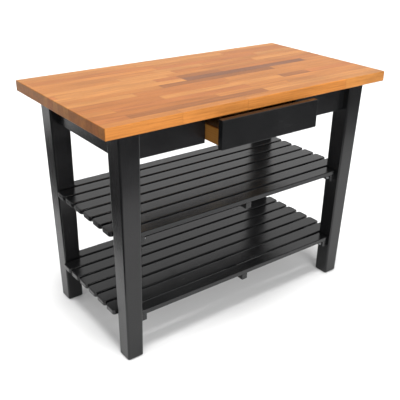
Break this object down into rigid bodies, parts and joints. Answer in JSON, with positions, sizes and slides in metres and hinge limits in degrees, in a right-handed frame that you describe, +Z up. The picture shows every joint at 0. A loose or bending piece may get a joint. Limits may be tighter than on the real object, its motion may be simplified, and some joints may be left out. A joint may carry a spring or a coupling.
{
  "type": "butcher block table",
  "caption": "Work table with a glued wooden block top, tapered black legs, a sliding drawer under the front edge and two slatted shelves.",
  "frame": {"origin": "on the floor, midway between the four feet, under the middle of the worktop", "axes": "+X along the table's length, left to right seen from the front; -Y is the front, where the drawer opens; +Z up"},
  "size_m": [1.219, 0.6685, 0.889],
  "materials": {
    "butcher_block": "oiled edge-grain staves",
    "black_paint": "satin black paint",
    "drawer_wood": "clear-finished solid wood",
    "plain_wood": "unfinished solid wood",
    "plywood": "unfinished birch plywood",
    "zinc_steel": "zinc-plated"
  },
  "bodies": {
    "table": {"butcher_block_top": "butcher_block", "leg_front_left": "black_paint", "leg_front_right": "black_paint", "leg_rear_left": "black_paint", "leg_rear_right": "black_paint", "front_apron_left": "black_paint", "front_apron_right": "black_paint", "rear_apron": "black_paint", "end_apron_left": "black_paint", "end_apron_right": "black_paint", "drawer_header": "black_paint", "corner_brace_front_left": "plain_wood", "corner_brace_front_right": "plain_wood", "corner_brace_rear_left": "plain_wood", "corner_brace_rear_right": "plain_wood", "lower_slat_1": "black_paint", "lower_slat_2": "black_paint", "lower_slat_3": "black_paint", "lower_slat_4": "black_paint", "lower_slat_5": "black_paint", "lower_slat_6": "black_paint", "lower_slat_7": "black_paint", "lower_slat_8": "black_paint", "lower_rail_left": "black_paint", "lower_rail_middle": "black_paint", "lower_rail_right": "black_paint", "lower_slat_screws": "zinc_steel", "upper_slat_1": "black_paint", "upper_slat_2": "black_paint", "upper_slat_3": "black_paint", "upper_slat_4": "black_paint", "upper_slat_5": "black_paint", "upper_slat_6": "black_paint", "upper_slat_7": "black_paint", "upper_slat_8": "black_paint", "upper_rail_left": "black_paint", "upper_rail_middle": "black_paint", "upper_rail_right": "black_paint", "upper_slat_screws": "zinc_steel", "drawer_runner_left": "plain_wood", "drawer_kicker_left": "plain_wood", "drawer_runner_right": "plain_wood", "drawer_kicker_right": "plain_wood", "frame_screws": "zinc_steel", "hanger_bolts": "zinc_steel", "hanger_washers": "zinc_steel", "hanger_nuts": "zinc_steel", "rail_bolts": "zinc_steel", "top_brackets": "zinc_steel", "top_bracket_screws": "zinc_steel"},
    "drawer": {"drawer_front": "black_paint", "drawer_side_left": "drawer_wood", "drawer_side_right": "drawer_wood", "drawer_back": "drawer_wood", "drawer_bottom": "plywood", "drawer_screws": "zinc_steel"}
  },
  "joints": [
    {"name": "drawer_slide", "type": "slide", "parent": "table", "child": "drawer", "axis": [0, -1, 0], "range_m": [-0.078, 0.222]}
  ]
}
